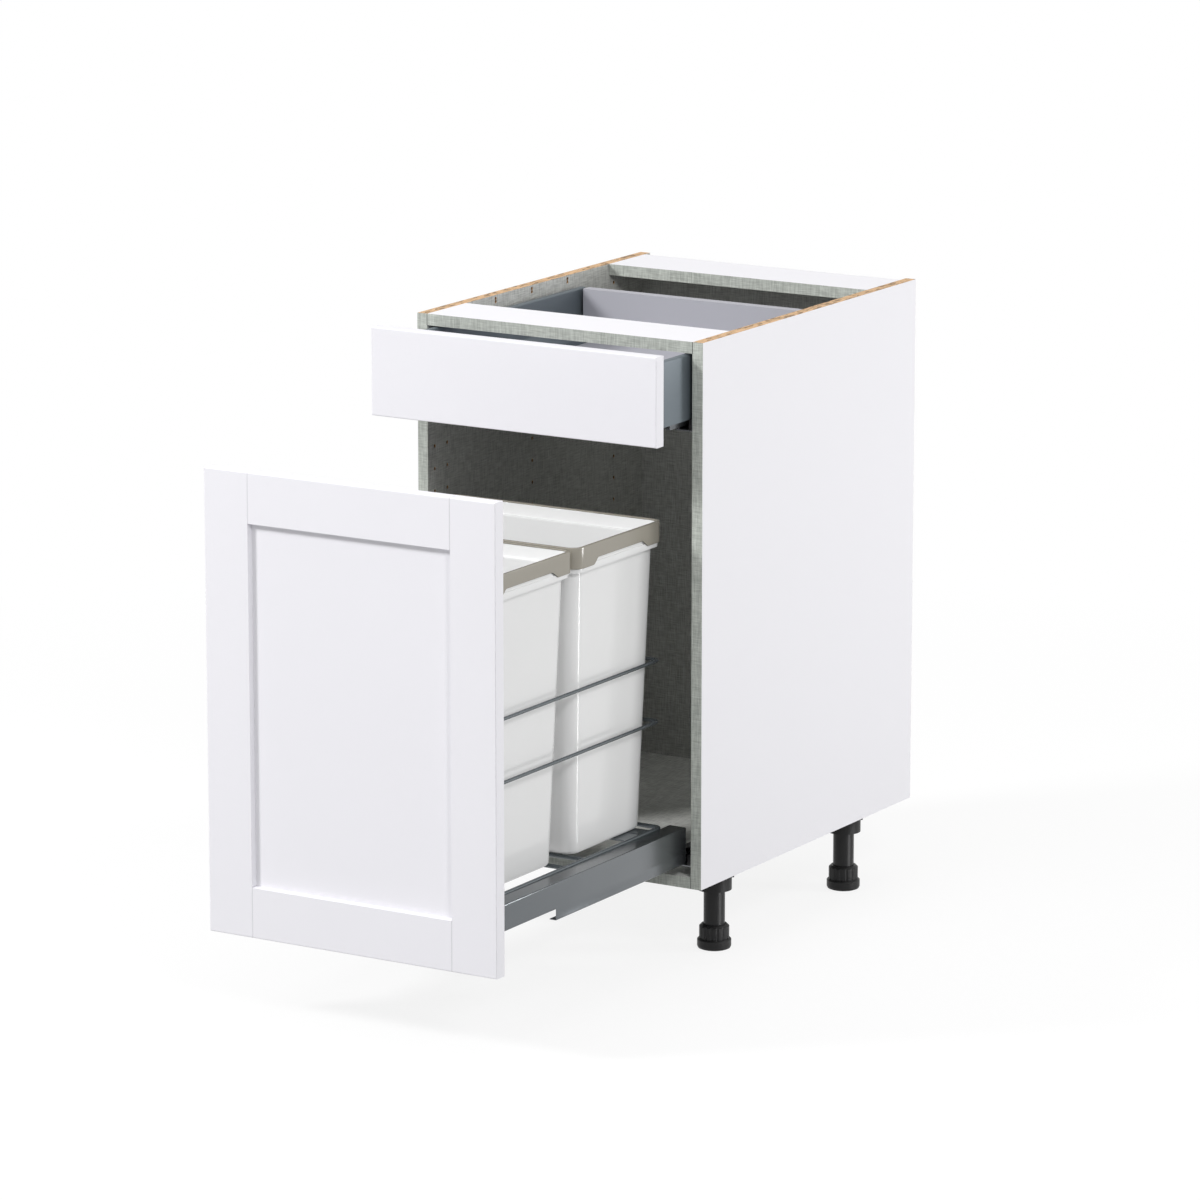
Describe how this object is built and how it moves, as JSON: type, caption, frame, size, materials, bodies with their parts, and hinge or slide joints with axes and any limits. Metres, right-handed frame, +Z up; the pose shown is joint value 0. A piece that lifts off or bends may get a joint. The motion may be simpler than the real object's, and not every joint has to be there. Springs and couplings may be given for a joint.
{
  "type": "pull-out waste base cabinet",
  "caption": "White shaker base cabinet on adjustable legs with a shallow top drawer and a pull-out door carrying lift-out waste bins.",
  "frame": {"origin": "on the floor under the middle of the cabinet's outline as pictured, with the door pulled out", "axes": "+Z up, +Y towards the cabinet's back, +X to the right as seen from the front"},
  "size_m": [0.4572, 1.121, 0.8763],
  "materials": {
    "white_front": "smooth matt lacquer",
    "white_board": "smooth melamine board",
    "linen_board": "linen-textured melamine board",
    "dowel_wood": "raw beech",
    "black_plastic": "moulded, satin",
    "zinc_steel": "zinc plated",
    "grey_steel": "satin powder coat",
    "drawer_steel": "satin powder coat",
    "drawer_board": "melamine board",
    "glide_nylon": "moulded nylon",
    "bin_plastic": "moulded, satin",
    "ring_plastic": "moulded, satin"
  },
  "bodies": {
    "cabinet": {"side_panel_left": "white_board", "side_panel_right": "white_board", "bottom_panel": "linen_board", "back_panel": "linen_board", "front_top_rail": "white_board", "rear_top_rail": "white_board", "edge_bands": "linen_board", "carcass_dowels": "dowel_wood", "leg_sockets": "black_plastic", "leg_tubes": "black_plastic", "leg_screws": "zinc_steel", "pullout_runner_left": "zinc_steel", "pullout_runner_right": "zinc_steel", "drawer_runner_left": "zinc_steel", "drawer_runner_right": "zinc_steel", "runner_front_guides": "black_plastic", "runner_screws": "zinc_steel"},
    "pullout": {"door_stile_left": "white_front", "door_stile_right": "white_front", "door_rail_top": "white_front", "door_rail_bottom": "white_front", "door_panel": "white_front", "pullout_side_left": "grey_steel", "pullout_side_right": "grey_steel", "pullout_end_caps": "black_plastic", "pullout_slide_left": "zinc_steel", "pullout_slide_right": "zinc_steel", "pullout_front_brackets": "zinc_steel", "door_screws": "zinc_steel", "bin_rack": "grey_steel", "rack_rivets": "zinc_steel", "upper_gallery": "grey_steel", "lower_gallery": "grey_steel", "gallery_brackets": "grey_steel", "gallery_uprights": "grey_steel"},
    "pullout_middle": {"pullout_mid_left": "zinc_steel", "pullout_mid_right": "zinc_steel", "pullout_mid_glides": "glide_nylon"},
    "drawer": {"drawer_front": "white_front", "drawer_side_left": "drawer_steel", "drawer_side_right": "drawer_steel", "drawer_floor": "drawer_board", "drawer_back": "drawer_board", "drawer_slide_left": "zinc_steel", "drawer_slide_right": "zinc_steel", "drawer_front_brackets": "zinc_steel", "drawer_back_holders": "zinc_steel", "drawer_screws": "zinc_steel"},
    "drawer_middle": {"drawer_mid_left": "zinc_steel", "drawer_mid_right": "zinc_steel", "drawer_mid_glides": "glide_nylon"},
    "front_bin": {"front_bin": "bin_plastic"},
    "rear_bin": {"rear_bin": "bin_plastic"},
    "front_ring": {"front_bin_ring": "ring_plastic"},
    "rear_ring": {"rear_bin_ring": "ring_plastic"},
    "foot_front_left": {"foot_front_left": "black_plastic"},
    "foot_front_right": {"foot_front_right": "black_plastic"},
    "foot_rear_left": {"foot_rear_left": "black_plastic"},
    "foot_rear_right": {"foot_rear_right": "black_plastic"}
  },
  "joints": [
    {"name": "pullout_slide", "type": "slide", "parent": "cabinet", "child": "pullout", "axis": [0, -1, 0], "range_m": [-0.5, 0]},
    {"name": "pullout_middle_slide", "type": "slide", "parent": "cabinet", "child": "pullout_middle", "axis": [0, -1, 0], "range_m": [-0.25, 0]},
    {"name": "drawer_slide", "type": "slide", "parent": "cabinet", "child": "drawer", "axis": [0, -1, 0], "range_m": [-0.098, 0.392]},
    {"name": "drawer_middle_slide", "type": "slide", "parent": "cabinet", "child": "drawer_middle", "axis": [0, -1, 0], "range_m": [-0.049, 0.196]},
    {"name": "front_bin_lift", "type": "slide", "parent": "pullout", "child": "front_bin", "axis": [0, 0, 1], "range_m": [0, 0.1]},
    {"name": "rear_bin_lift", "type": "slide", "parent": "pullout", "child": "rear_bin", "axis": [0, 0, 1], "range_m": [0, 0.1]},
    {"name": "front_ring_lift", "type": "slide", "parent": "front_bin", "child": "front_ring", "axis": [0, 0, 1], "range_m": [0, 0.015]},
    {"name": "rear_ring_lift", "type": "slide", "parent": "rear_bin", "child": "rear_ring", "axis": [0, 0, 1], "range_m": [0, 0.015]},
    {"name": "foot_front_left_screw", "type": "slide", "parent": "cabinet", "child": "foot_front_left", "axis": [0, 0, -1], "range_m": [-0.01, 0.008]},
    {"name": "foot_front_right_screw", "type": "slide", "parent": "cabinet", "child": "foot_front_right", "axis": [0, 0, -1], "range_m": [-0.01, 0.008]},
    {"name": "foot_rear_left_screw", "type": "slide", "parent": "cabinet", "child": "foot_rear_left", "axis": [0, 0, -1], "range_m": [-0.01, 0.008]},
    {"name": "foot_rear_right_screw", "type": "slide", "parent": "cabinet", "child": "foot_rear_right", "axis": [0, 0, -1], "range_m": [-0.01, 0.008]}
  ],
  "couplings": [
    {"joint": "pullout_middle_slide", "follows": "pullout_slide", "ratio": 0.5},
    {"joint": "drawer_middle_slide", "follows": "drawer_slide", "ratio": 0.5}
  ]
}
